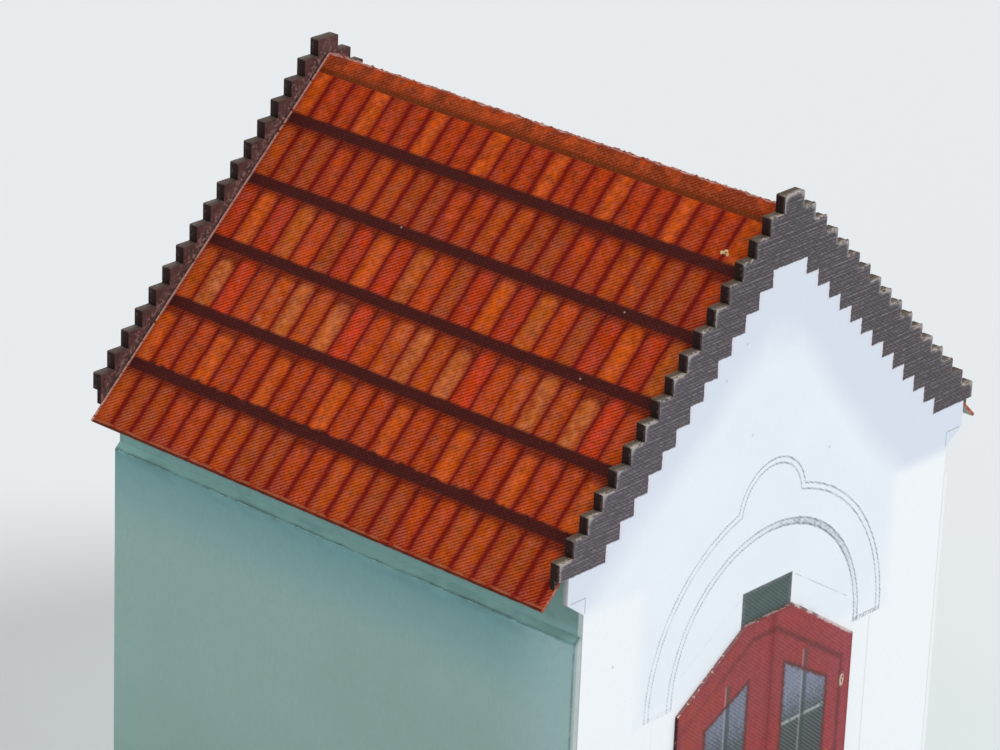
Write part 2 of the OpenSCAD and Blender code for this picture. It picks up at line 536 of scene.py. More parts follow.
def tile_tone(finish, tile):
    """The ink of each tile, how much lower it starts, and where it has a dark wedge."""
    tone = finish.tone(CLAY["brown"])
    for course, columns, clay in PATTERN:
        tone = tone.lay(tile.tiles(course, *columns), CLAY[clay])
    slipped = tile.tiles(1, 3)
    low = tile.tiles(3, 1) * 0.5 + tile.tiles(3, 3) * 0.25 + slipped * 0.3
    low = low + (tile.tiles(0, 0, 3) & (tile.course > 2)) * 0.3
    # Paper glimmers through the pale tiles in small spots
    glimmer = finish.cloud(0.7, seed=35).rise(0.44, 0.74)
    tone = tone.lay(tile.tiles(3, 1, 4, 5) & glimmer * 0.16, "#d9a184")
    wedge = slipped & ((tile.depth - 2.2) / 2.4 - tile.side / 1.8).rise(-0.3, 0.25)
    return tone, low, wedge


# %% [markdown]
# A tile is lightest in its middle and sinks softly into the red gap on each side, because
# the old press spread the ink. The gap gets a thin darker core. The head of a tile is
# rounded: the further from its middle, the lower it starts, which a third power draws well.
# Between the courses lies a dark maroon line of shadow with single paler dots in it.

# %% Courses of tiles
HEAD_ROUND = 0.65
LATE_HEAD_ROUND = 0.8
FLANK = 0.8
GAP_HALF = 0.34
LAP_START = TILE_LENGTH - 0.1
LAP_END = TILE_LENGTH + 0.26


def shadow_tone(finish, tile):
    """The dark line under the laps, with its single dots."""
    dots = dot_rows(tile.along, tile.down, 0.05, 0.03)
    dots = dots + finish.cloud(0.25, detail=2, seed=72).rise(0.5, 0.7) * 0.05
    grain = 0.7 + finish.cloud(0.5, seed=60) * 0.5
    return finish.tone(SHADOW).shade(grain).lay(dots, "#a65e56")


def uneven_clay(finish, tile, tone):
    """Clouds, a red blush and dark stains, which make every tile a little different."""
    mottle = 1.04 + finish.sway(0.5, 2.2, seed=4)
    mottle = mottle + finish.sway(1.5, 1.0, detail=2, seed=36)
    mottle = mottle + (finish.chance(tile.column, tile.course) - 0.5) * 0.1
    tone = tone.shade(mottle * (1.16 - tile.down.rise(1, 12) * 0.12))
    blush = finish.cloud(0.8, detail=2, seed=37).rise(0.52, 0.68) * 0.35
    tone = tone.lay(blush, "#8c1404")
    stain = finish.cloud(1.3, seed=62).rise(0.57, 0.72) * 0.55
    return tone.lay(stain, GAP_EDGE)


def courses_tone(finish, tile):
    """Six courses of tiles with gaps, rounded heads and shadow lines."""
    tone, low, wedge = tile_tone(finish, tile)
    tone = uneven_clay(finish, tile, tone)
    late = tile.each_course[2] | tile.each_course[3]
    roundness = HEAD_ROUND + late * (LATE_HEAD_ROUND - HEAD_ROUND)
    shoulder = abs(tile.side - TILE / 2) / (TILE / 2)
    head = tile.depth - low - shoulder * shoulder * shoulder * roundness
    gap = finish.tone(GAP).lay(tile.side < TILE / 2, GAP_EDGE)
    uneven = (finish.chance(tile.columns(0, 2, 5), tile.pattern_course, 9) - 0.5) * 0.16
    flank = (tile.to_gap + uneven).fall(-0.1, FLANK)
    core = (tile.to_gap + uneven).fall(0.02, GAP_HALF)
    tone = tone.lay(wedge * 0.85, GAP_EDGE)
    tone = tone.lay(tile.depth.rise(3.0, 4.9) * 0.35 & tile.each_course[1], GAP_EDGE)
    tone = tone.lay(flank * 0.8, gap)
    tone = tone.lay(core * 0.75, GAP_CORE)
    tone = tone.lay(head.fall(0.0, 0.85) * 0.95, UNDER_LAP)

    screen = dot_rows(tile.along, tile.down, 0.32, 0.04) * (tile.down.rise(1, 14) * 0.4 + 0.6)
    covered = (flank * 0.55).most(core * 0.85).most(head.fall(0.1, 0.8) * 0.6)
    pinkish = finish.cloud(0.9, seed=70).rise(0.42, 0.6)
    tone = tone.lay(screen * covered.outside(), finish.tone(GLIMPSE).lay(pinkish, GLIMPSE_PINK))
    bare_specks = finish.cloud(0.24, detail=2, seed=71).rise(0.5, 0.68) * 0.1
    tone = tone.lay(bare_specks * covered.outside(), "#d98e8c")
    ragged = (tile.course > 3) & (finish.cloud(0.8, detail=1, seed=38) - 0.45) * 0.7
    foot = tile.depth + ragged.most(0)
    lap = foot.rise(LAP_START, LAP_END) & (tile.course < LAST_COURSE)
    return tone.lay(lap | tile.depth.fall(-0.04, 0.2), shadow_tone(finish, tile))


# %% [markdown]
# The ridge course is narrower: reddish saddle tiles with cloudy darker joints, and below
# them a brown band with small ochre dots. On the fold itself the print has broken, as it
# does when thick paper is folded, and shows pinkish fibres beside a streak of maroon.

# %% Ridge course
RIDGE_COURSE = 1.95
BEAD_LINE = 1.68


def ridge_tone(finish, tile, rubbed):
    """The saddle tiles on the ridge, and the broken ink on the fold."""
    mottle = 0.97 + finish.sway(0.4, 1.4, seed=39)
    mottle = mottle + finish.sway(1.5, 1.5, detail=2, seed=40)
    tone = finish.tone("#a63810").shade(mottle)
    joints = finish.cloud(1.7, detail=1, seed=69).rise(0.46, 0.58) * 0.8
    tone = tone.lay(joints.most(tile.to_gap.fall(0.0, 0.4) * 0.4), "#661a10")
    tone = tone.lay(tile.down.rise(0.8, 1.5) * 0.8, "#6e1c05")
    tone = tone.lay(dot_rows(tile.along, tile.down, 0.17, 0.04), "#ec8038")
    tone = tone.lay(finish.cloud(0.24, detail=2, seed=73).rise(0.5, 0.68) * 0.12, "#d98e7c")
    dots = (tile.along * DOTS_ACROSS * FULL_TURN).cos().rise(-0.8, 1.2) & rubbed.rise(0.38, 0.6)
    beads = (tile.down - BEAD_LINE).stroke(0.16, 0.16) & dots * 0.45
    beads = finish.tone("#6a2b10").lay(beads, "#8e5c24")
    tone = tone.lay(tile.down.between(BEAD_LINE - 0.16, RIDGE_COURSE - 0.03, 0.24) * 0.9, beads)
    torn = tile.down + (rubbed - 0.5) * 0.9
    tone = tone.lay(torn.fall(0.14, 0.5) * 0.35, "#5e1512")
    return tone.lay(torn.fall(0.04, 0.2) * 0.85, "#c79c92")


# %% [markdown]
# The sheet's rims come last. Along the eave runs a dark line at the cut edge with a worn
# ochre one above it, and at the back, where fingers hold the model, the rim is rubbed to a
# pale pink. Three tiny chips of ink are missing on the slope. The underside is bare paper. A
# cut edge is told from the printed face by the way it faces.

# %% The roof's finish
EAVE_LINE = 0.24
CHIPS = (
    # along the roof from its back edge, down the slope
    (15.75, 11.55),
    (37.75, 11.8),
    (37.5, 17.65),
)


def roof_rims(finish, tile, tone, rubbed):
    """The worn rims at the eave and at the back, and the chips."""
    eave = roof_high.x / SLOPE_COS
    worn = (tile.down - (eave - EAVE_LINE)).stroke(0.18, 0.14) & rubbed.rise(0.36, 0.56)
    tone = tone.lay(tile.down.rise(eave - 0.5, eave - 0.3) * 0.5, GAP)
    tone = tone.lay(worn * 0.55, "#a8714c")
    tone = tone.lay(tile.down.rise(eave - 0.17, eave - 0.07) * 0.8, "#45201a")
    tone = tone.lay(tile.along.fall(0.1, 0.28) & rubbed.rise(0.3, 0.48) * 0.9, "#cc9c90")
    for chip_along, chip_down in CHIPS:
        chip = distance(tile.along - chip_along, tile.down - chip_down).fall(0.02, 0.11)
        tone = tone.lay(chip & (finish.x < 0) * 0.8, "#bfae9f")
    return tone


def roof_cuts(finish, tone, rubbed):
    """The bare underside and the cut edges, each told by the way it faces."""
    outward = finish.x.work("SIGN") * finish.facing_x
    edge = finish.tone("#5c3a30").lay(rubbed.rise(0.5, 0.62) * 0.7, "#94705c")
    front_cut = finish.tone("#a0523f").lay(rubbed.rise(0.46, 0.6) * 0.6, "#c08a7c")
    bare = finish.tone("#b4b0a6").mottle(2, 0.2, detail=4, seed=6)
    tone = tone.lay(finish.facing_z < 0, bare)
    tone = tone.lay((finish.facing_z < 0) & (outward > 0.3), edge)
    tone = tone.lay(finish.facing_y > 0.5, finish.tone("#b39a88").shade(0.8 + rubbed * 0.4))
    return tone.lay(finish.facing_y < -0.5, front_cut)


def roof_finish():
    finish = Finish("printed_tiles")
    tile = TilePlace(finish)
    rubbed = finish.cloud(0.3, detail=4, stretch=(1, 0.35, 1), seed=5)
    on_ridge = tile.down.fall(RIDGE_COURSE - 0.05, RIDGE_COURSE + 0.05)
    tone = courses_tone(finish, tile).lay(on_ridge, ridge_tone(finish, tile, rubbed))
    tone = roof_cuts(finish, roof_rims(finish, tile, tone, rubbed), rubbed)
    return finish.complete(tone, roughness=0.55, grain=0.3, gloss=0.04)


dress("roof_sheet", roof_finish())
print("nodes in the roof print:", len(nodes["roof_sheet"].data.materials[0].node_tree.nodes))

# %% [markdown]
# The gable print has a white field under a band of slates that steps down with the card.
# The inner edge of that band is a flight of steps too. A step is where a whole number
# changes, so the edge is drawn with a rounded-up count of how many step widths lie between
# a point and the middle. The same count gives the distance to the cut edge, where the ink
# is rubbed off in short pale strokes.

# %% Outline of the white field and of the gable
FIELD_HALF = 1.93
FIELD_TOP = 53.04
FIELD_STEPS = 13
FIELD_FOOT = FIELD_TOP - FIELD_STEPS * STEP_RISE
KNEELER_LINE = 33.6
KNEELER_FOOT = 32.4
KNEELER_INNER = 21.0
KNEELER_OUTER = 22.6


def field_edge(across):
    """Height of the white field's stepped edge, at a distance from the middle."""
    count = ((across - FIELD_HALF) / STEP_RUN).ceil().most(0).least(FIELD_STEPS)
    return FIELD_TOP - count * STEP_RISE


def edge_distance(finish):
    """How far a point lies under its tread and behind its riser."""
    across = abs(finish.x)
    count = ((across - CAP_HALF) / STEP_RUN).ceil().most(0)
    below_tread = PEAK - count * STEP_RISE - finish.z
    level = ((PEAK - finish.z) / STEP_RISE).floor().least(STEPS)
    behind_riser = CAP_HALF + level * STEP_RUN - across
    return below_tread, behind_riser, level


print("the white field's lowest step is at", round(FIELD_FOOT, 2), "mm")

# %% [markdown]
# The slates are drawn as fine level rows of short dashes. Three sets of rows of different
# spacing lie over each other and beat, so some rows are bright and others nearly vanish, as
# they do in the print. The white is not one white either: it is cleanest near the foot and
# in the front's lower corners, tinted blue above that, deeper under the slates, and a little
# pink beside them. On the back the clean part fades softly into the tint.

# %% Slates and paper white
SLATE_ROWS = (
    # rows to the millimetre, share of the light
    (2.27, 0.26),
    (4.45, 0.42),
    (3.03, 0.28),
)
SLATE = "#453e42"
SLATE_COOL = "#403e41"
SLATE_PALE = "#a69da3"
PAPER = "#f4f8fb"
PAPER_TINT = "#e9f1f8"
PAPER_SHADE = "#dae2ee"
CORNER_HALF = 14.8
CORNER_TOP = 32.2
SHADE_DEPTH = 6


def slate_tone(finish):
    """Dark slates in fine level rows of pale dashes, lighter and purplish on the left."""
    drift = finish.sway(3, 3, detail=2, seed=41)
    rows = 0.3
    for to_the_mm, share in SLATE_ROWS:
        rows = (finish.z * (to_the_mm * FULL_TURN) + drift).cos() * share + rows
    dashes = finish.cloud(0.3, detail=2, stretch=(0.8, 1, 2.0), seed=42).rise(0.4, 0.66)
    light = rows.most(0.05) * (dashes * 0.9 + 0.25)
    light = light + dot_rows(finish.x, finish.z, 0.22, 0.14)
    tone = finish.tone(SLATE).lay(finish.cloud(1.8, seed=7).rise(0.42, 0.62), SLATE_COOL)
    tone = tone.lay(finish.x.fall(-14, -4) * 0.35, "#57505a")
    tone = tone.mottle(0.5, 0.32, seed=8)
    return tone.lay(light * 0.36, SLATE_PALE)


def white_tone(finish, inwards):
    """Paper white at the foot and at the front's corners, tinted above, deeper under the slates."""
    x, z = finish.x, finish.z
    across = abs(x)
    clean = z.fall(18, 34)
    if inwards > 0:
        corner = across.rise(CORNER_HALF - 1.4, CORNER_HALF + 0.8)
        corner = corner & z.fall(CORNER_TOP - 0.8, CORNER_TOP + 0.8)
        clean = corner | z.fall(20.2, 22.6)
    clouds = finish.cloud(7, seed=9) - 0.5
    tone = finish.tone(PAPER).lay(clean.outside() * (0.9 + clouds), PAPER_TINT)
    verge_line = FIELD_TOP - (across - FIELD_HALF).most(0) * SLOPE
    drop = verge_line - z + clouds * 4 - x * 0.17
    tone = tone.lay(drop.fall(SHADE_DEPTH - 2, SHADE_DEPTH + 2) & clean.outside(), PAPER_SHADE)
    beside = (z - field_edge(across + 0.28)).rise(-0.25, 0.1)
    tone = tone.lay(beside * 0.55, "#dcd4de")
    tone = tone.mottle(0.4, 0.04, detail=2, seed=43)
    return tone.lay(dot_rows(x, z, 0.06), "#cfd4e2")


# %% [markdown]
# The steps of the front sheet are the most handled edge of the model. Each tread has a short
# stroke of bare paper at its front edge, longer on some steps, and the risers show a thin
# worn line. Whether a step has lost much or little is decided by a number that belongs to
# that step alone.

# %% Rubbed and cut edges of a gable sheet
def rubbed_edge(finish, tone, flakes):
    """Bare paper along the cut edges of the steps."""
    below_tread, behind_riser, level = edge_distance(finish)
    luck = finish.chance(level, finish.x > 0, 5)
    wobble = (flakes - 0.5) * 0.5
    run = (behind_riser + wobble).between(0.0, 1.2, 0.3)
    worn = (below_tread + wobble * 0.6).fall(0.04, 0.26) & run & (luck * 0.3 + flakes).rise(0.58, 0.7)
    tone = tone.lay(worn * 0.85, "#bdb4ae")
    corner = distance(below_tread, behind_riser) + wobble
    tone = tone.lay(corner.fall(0.2, 0.6) & (luck > 0.35) * 0.7, "#b9b1ad")
    line = (behind_riser + wobble * 0.5).fall(0.02, 0.26) & (flakes + luck * 0.25).rise(0.56, 0.7)
    tone = tone.lay(line * 0.75, "#aaa2a4")
    return tone.lay((behind_riser.fall(0.1, 0.5) | below_tread.fall(0.1, 0.45)) * 0.2, "#7d7679")


def step_edge(finish, flakes, depth_in):
    """Painted cut edge of a step: nearly black risers, olive-brown treads worn at the front."""
    x, y = finish.x, finish.y
    handled = (y < 0) * 0.85 + 0.15
    riser = finish.tone("#2d1d1b").mottle(0.3, 0.8, seed=57)
    front = (depth_in + (flakes - 0.5) * 0.8).fall(0.0, 0.26) * handled
    riser = riser.lay(front * 0.6, "#6a5c58")
    riser = riser.lay(front & flakes.rise(0.54, 0.62), "#b3a8a2")
    riser = riser.lay(flakes.rise(0.64, 0.72) * 0.4 * handled, "#6d5c52")
    below_tread, behind_riser, level = edge_distance(finish)
    near = (depth_in + (flakes - 0.5) * 1.2).fall(0.05, 0.6) * handled
    tread = finish.tone("#4a4038").lay(x.fall(-1, 1), "#4f4034")
    tread = tread.lay(y > 0, "#4b3d38")
    tread = tread.mottle(0.4, 0.6, seed=58)
    tread = tread.lay(near * 0.6, "#756c64")
    olive = behind_riser.rise(0.9, 1.4) & depth_in.rise(0.2, 0.6) & (y < 0)
    tread = tread.lay(olive * 0.4, "#5e5a2c")
    worn = near & (flakes + finish.chance(level, x > 0, 5) * 0.2).rise(0.58, 0.68)
    tread = tread.lay(worn * 0.9, "#bfb6ab")
    return riser.lay(finish.facing_z > 0.5, tread)


def kneeler_edge(finish, depth_in):
    """Cut edge below the slates: bare and greyer towards the back, tinted on the back gable."""
    bare = finish.tone("#d5d8db").lay(depth_in.rise(0.0, 0.3), "#b2b2b5")
    bare = bare.lay(depth_in.rise(0.3, 0.7), "#8d8986")
    bare = bare.mottle(0.35, 0.3, seed=44)
    bare = bare.lay(finish.z < KNEELER_FOOT - 0.05, "#c9d4d6")
    return bare.lay(finish.y > 0, "#86a6a2")


def gable_edge(finish, flakes, depth_in):
    """The cut edge of a gable: painted steps above, a bare kneeler and side below."""
    painted = step_edge(finish, flakes, depth_in)
    return kneeler_edge(finish, depth_in).lay(finish.z > FIELD_FOOT, painted)


# %% [markdown]
# Now the parts go together into the print that both gables share. The back gable was not
# to be seen while this model was studied, so it gets the slates and the plain white field
# by symmetry, with neither door nor arch.

# %% Print of a gable
def gable_print(finish, inwards):
    """Everything that both gables have in common. Inwards is +1 where the back lies behind."""
    x, y, z = finish.x, finish.y, finish.z
    tone = white_tone(finish, inwards)
    across = abs(x)
    side_line = (across - KNEELER_INNER).stroke(0.1, 0.08) & z.between(KNEELER_FOOT, KNEELER_LINE)
    foot_line = (z - KNEELER_LINE).stroke(0.1, 0.08) & across.between(KNEELER_INNER, KNEELER_OUTER)
    tone = tone.lay((side_line | foot_line) * 0.6, "#8e969c")
    wobble = finish.sway(0.3, 0.16, detail=2, seed=10)
    band = (z + wobble - field_edge(across + wobble)).rise(-0.05, 0.07)
    flakes = finish.cloud(0.25, detail=4, seed=11) * 0.6 + finish.cloud(0.9, detail=2, seed=61) * 0.4
    flakes = (flakes - 0.5) * 1.3 + 0.5
    tone = tone.lay(band, rubbed_edge(finish, slate_tone(finish), flakes))
    depth_in = (y - (FRONT_FACE if inwards > 0 else BACK_FACE)) * inwards
    return tone, band, gable_edge(finish, flakes, depth_in)


def back_finish():
    finish = Finish("printed_back")
    tone, band, edge = gable_print(finish, -1)
    return finish.complete(tone.lay(finish.facing_y < 0.5, edge), roughness=0.6)


dress("back_gable_sheet", back_finish())
print("nodes in the back print:", len(nodes["back_gable_sheet"].data.materials[0].node_tree.nodes))

# %% [markdown]
# Over the door the sheet carries the outline of an arch: two rings of thin double lines
# with a small round head on top, all in pencil grey. The outline of two joined discs is
# short to write: take the distance to each disc's edge, and keep the smaller of the two.
# The rows of dots cut the thin lines into fuzzy dashes, fainter on the left. The band
# between the rings is plain paper.

# %% Arch over the door
SPRING = 21.4
ARCH_FOOT = 21.05
OUTER_MIDDLE = 0.1
OUTER_RING = (13.85, 13.4)
INNER_RING = (11.2, 10.75)
RING_LINE = 0.13
HEAD_MIDDLE = (-0.25, 34.0)
HEAD_RING = (3.9, 3.45)
PENCIL = "#7d8790"


def arch_print(finish, tone):
    """The arch with its round head, in broken grey lines."""
    x, z = finish.x, finish.z
    above = (z - SPRING).most(0)
    shake = finish.sway(0.3, 0.16, detail=2, seed=45)
    outer = distance(x - OUTER_MIDDLE, above) + shake
    inner = distance(x, above) + shake
    head = distance(x - HEAD_MIDDLE[0], z - HEAD_MIDDLE[1]) + shake
    standing = z.rise(ARCH_FOOT - 0.04, ARCH_FOOT + 0.04)
    rings = [(outer - a).least(head - h) for a, h in zip(OUTER_RING, HEAD_RING)]
    rings += [inner - radius for radius in INNER_RING]
    lines = rings[0].stroke(RING_LINE, RING_LINE)
    for ring in rings[1:]:
        lines = lines | ring.stroke(RING_LINE, RING_LINE)
    dashes = dot_rows(x, z, 0.45) + 0.5
    faded = x.rise(-13, 4) * 0.3 + 0.55 + finish.sway(1.1, 1.5, seed=46)
    lines = (lines & standing) * dashes * faded.most(0.15).least(1)
    tone = tone.lay(lines, PENCIL)

    # Rough hatching between the inner pair of lines, darkest to the right of the middle
    ring = inner.between(INNER_RING[1] - 0.1, INNER_RING[0] + 0.05, 0.15) & standing
    dusk = x.rise(-1.5, 3) * x.fall(7.5, 11) * 0.55 + x.rise(-12, 4) * 0.15
    rough = finish.cloud(0.5, seed=47).rise(0.3, 0.7) * 0.7 + 0.25
    tone = tone.lay(ring & rough * dusk * (dashes * 0.5 + 0.5), "#5a6d73")

    # Both feet are closed by a rough double line, plain to see on the right only
    legs = abs(x - OUTER_MIDDLE / 2).between(INNER_RING[1], OUTER_RING[0])
    feet = (z + shake - ARCH_FOOT - 0.14).stroke(0.36, 0.14) & legs
    broken = finish.cloud(0.22, detail=2, seed=48).rise(0.34, 0.62)
    return tone.lay(feet * (x.rise(-2, 2) * 0.5 + 0.15) * broken, "#6a6c74")


# %% [markdown]
# A dark window sits above the door, half hidden by it. Its glass is woven from the same
# rows of dots, and its rim is paler and purplish. Faint pencil lines run beside the door,
# and a few specks of dust are caught in the white.

# %% Window, faint lines and specks
# from, to, top
WINDOW = (-3.05, 2.75, 27.9)
WINDOW_FOOT = 20
# both ends of the line over a shoulder, and the top of the line beside a jamb
SHOULDER_LINE = ((2.9, 27.7), (9.8, 23.5))
JAMB_LINE = (12.8, 20.9)
SPECKS = ((-6.55, 45.85), (-4.4, 48.05), (-3.1, 40.6), (6.2, 36.9), (-17.6, 27.0))


def window_print(finish, tone):
    """The dark window above the door."""
    x, z = finish.x, finish.z
    low, high, top = WINDOW
    opening = x.between(low, high, 0.12) & z.fall(top - 0.06, top + 0.06) & (z > WINDOW_FOOT)
    to_rim = (x - low).least(high - x).least((top - z) * 1.6)
    rough = finish.cloud(0.22, seed=13)
    glass = finish.tone("#445352").mottle(0.5, 0.5, seed=49)
    glass = glass.lay(to_rim.fall(0.15, 0.55) & rough.rise(0.35, 0.6) * 0.6, "#77757e")
    glass = glass.lay(z.fall(25.2, 25.6) & rough.rise(0.4, 0.6) * 0.6, "#6b4440")
    glass = glass.lay(dot_rows(x, z, 0.1, 0.08), "#a6b4b4")
    glass = glass.lay(to_rim.stroke(0.12, 0.1) * 0.5, "#394244")
    return tone.lay(opening, glass)


def front_marks(finish, tone):
    """Faint lines along the door's shoulders and jambs, and specks in the white."""
    x, z = finish.x, finish.z
    (near, high), (far, low) = SHOULDER_LINE
    jamb_place, jamb_top = JAMB_LINE
    drop = (high - low) / (far - near)
    dashes = finish.cloud(0.5, detail=2, seed=50).rise(0.35, 0.55)
    for side, strength in ((1, 0.4), (-1, 0.14)):
        across = x * side
        slope = (z - high + (across - near) * drop).stroke(0.1, 0.08) & across.between(near, far)
        jamb = (across - jamb_place).stroke(0.14) & z.fall(jamb_top - 0.1, jamb_top + 0.1)
        tone = tone.lay((slope & dashes | jamb * 0.5) * strength, PENCIL)
    for speck_x, speck_z in SPECKS:
        speck = distance(x - speck_x, z - speck_z) + finish.cloud(0.15, detail=2, seed=51) * 0.2
        tone = tone.lay(speck.fall(0.12, 0.3) * 0.4, "#93a3a6")
    return tone


def front_finish():
    finish = Finish("printed_front")
    tone, band, edge = gable_print(finish, 1)
    drawn = front_marks(finish, window_print(finish, arch_print(finish, tone)))
    tone = drawn.lay(band, tone)
    return finish.complete(tone.lay(finish.facing_y > -0.5, edge), roughness=0.6)


dress("front_gable_sheet", front_finish())
print("nodes in the front print:", len(nodes["front_gable_sheet"].data.materials[0].node_tree.nodes))

# %% [markdown]
# The door is a panel of thin card glued on the front. Its red is far from even: orange on
# the left, crimson towards the right, with specks of the paper everywhere. A soft brown line
# follows the edge of the panel inside. The distance to that line is the smallest of the
# distances to its sides, its flat top and its two slanting shoulders.

# %% Panel of the door
DOOR_MIDDLE = (door_low.x + door_high.x) / 2
DOOR_HALF = (door_high.x - door_low.x) / 2
# middle, half width, top, where the shoulder starts, how steeply it drops
PANEL = (DOOR_MIDDLE, DOOR_HALF, door_high.z, 2.8, 4.9 / 7.5)
BROWN_LINE = (-0.4, 9.6, 23.9, 1.4, 0.63)


def inside(finish, outline):
    """How far a point lies inside the panel's edge, or inside a line of the same shape."""
    middle, half, top, shoulder, drop = outline
    across = abs(finish.x - middle)
    to_shoulder = (top - (across - shoulder) * drop - finish.z) * math.cos(math.atan(drop))
    return (half - across).least(top - finish.z).least(to_shoulder)


def panel_tone(finish):
    """Uneven red with the brown line and the darker strip where the two leaves meet."""
    x, z = finish.x, finish.z
    patches = finish.cloud(1.6, seed=17)
    red = finish.tone("#8e3f42").lay(patches.rise(0.42, 0.62) * 0.5, "#983c39")
    red = red.lay(x.fall(-8.5, -2) & patches.rise(0.34, 0.55) * 0.8, "#974137")
    red = red.lay(z.fall(14, 18.5) * 0.5, "#94342a")
    red = red.lay(x.rise(5.5, 10) * 0.4, "#9a4a58")
    red = red.mottle(0.3, 0.76, detail=4, seed=18)
    red = red.lay(dot_rows(x, z, 0.08, 0.02), "#d98f94")
    strength = x.rise(-7, 1) * 0.35 + 0.2
    line = inside(finish, BROWN_LINE) + finish.sway(0.4, 0.5, seed=52)
    red = red.lay(line.stroke(0.42, 0.42) * strength, "#4c3330")
    red = red.lay(abs(x - 0.5).fall(0.1, 0.9) * 0.25, "#6d2228")
    return red.lay((x - 0.55).stroke(0.22, 0.22) * 0.35, "#5f2427")


# %% [markdown]
# Two panes with slanted heads catch the sky, lavender at the top and dark below a pale
# bar. Each has an upright in the middle that ends in a small finial above the glass. The
# panes have no sharp border: the red sinks into a dark olive fringe first.

# %% Panes of the door
PANES = (
    # from, to, height at the inner end, height at the outer end, upright, light
    (-7.1, -2.0, 20.75, 18.2, -4.4, 0.7),
    (2.0, 7.6, 20.95, 17.7, 4.75, 0.9),
)
PANE_FOOT = 8.6
BAR = 15.45
FINIAL_TOP = 21.0


def pane_tone(finish, top, light, upright):
    """Glass with its lavender light, the pale bar and the upright."""
    x, z = finish.x, finish.z
    rough = finish.cloud(0.25, detail=4, seed=16)
    glass = finish.tone("#353b39").lay(z.rise(11, BAR) * 0.6, "#454e4c")
    glass = glass.lay((z + (rough - 0.5) * 3.0).rise(14.6, 18.6) * light, "#7c8095")
    glass = glass.shade(0.62 + rough * 0.76)
    glass = glass.lay(dot_rows(x, z, 0.11, 0.03), "#ccd2e0")
    bar = (z - BAR).stroke(0.26, 0.22) & (x > 0)
    glass = glass.lay(bar * rough.rise(0.3, 0.5) * 0.5, "#c3cccb")
    post = x - upright + (rough - 0.5) * 0.2
    glass = glass.lay((post + 0.32).stroke(0.22, 0.2) * 0.3, "#c3bcc2")
    return glass.lay(post.stroke(0.46, 0.3) * 0.75, "#43504f")


def panes_print(finish, red):
    """Both panes with their dark fringe and finials."""
    x, z = finish.x, finish.z
    for first, last, inner_top, outer_top, upright, light in PANES:
        near, far = sorted((abs(first), abs(last)))
        top = inner_top - (abs(x) - near) * ((inner_top - outer_top) / (far - near))
        room = (x - first).least(last - x).least(top - z)
        room = room.least(z - PANE_FOOT) + finish.sway(0.35, 0.5, seed=53)
        post = x - upright
        finial = post.stroke(0.46, 0.3) & z.between(inner_top - 1.6, FINIAL_TOP, 0.4)
        glint = (post + 0.34).stroke(0.18, 0.18) & z.between(FINIAL_TOP - 1.6, FINIAL_TOP, 0.3)
        red = red.lay(glint * 0.4, "#c9a3a4")
        red = red.lay(finial * 0.65, "#49504c")
        red = red.lay(room.rise(-0.25, 0.15) * 0.7, "#493a34")
        red = red.lay(room.rise(0.1, 0.5), pane_tone(finish, top, light, upright))
    return red


# %% [markdown]
# Under each pane a plain raised board is drawn, and a fleck of cream and one of ochre sit
# beside the right pane. The outline of a board is where the larger of two distances is 0:
# the one to its sides and the one to its top or foot.

# %% Boards and flecks
BOARD_MIDDLE = (4.4, 4.6)
BOARD_HALF = (2.6, 2.4)
MEETING = 0.3
CREAM_FLECK = (9.45, 16.7)
OCHRE_FLECK = (8.0, 11.0)


def door_marks(finish, tone):
    """The outlines of the two boards, and two flecks beside the right pane."""
    x, z = finish.x, finish.z
    aside = abs(abs(x - MEETING) - BOARD_MIDDLE[0]) - BOARD_HALF[0]
    board = aside.most(abs(z - BOARD_MIDDLE[1]) - BOARD_HALF[1])
    tone = tone.lay(board.stroke(0.22, 0.15) * 0.6, "#5d3030")
    grit = finish.cloud(0.2, seed=54)
    cream = distance((x - CREAM_FLECK[0]) * 2.2, z - CREAM_FLECK[1]) + (grit - 0.5) * 0.6
    tone = tone.lay(cream.fall(0.42, 0.72) & grit.rise(0.36, 0.5), "#cdbda4")
    ochre = distance(x - OCHRE_FLECK[0], z - OCHRE_FLECK[1]).fall(0.15, 0.4)
    return tone.lay(ochre * 0.6, "#a8742c")


# %% [markdown]
# The cut edges of the panel were left as the knife left them: dark on the left jamb with
# cream flecks on the shoulder, white with dark dashes on the right one. The printed red is
# rubbed off beside them too, so a pale rim is drawn on the face as well as on the edge.

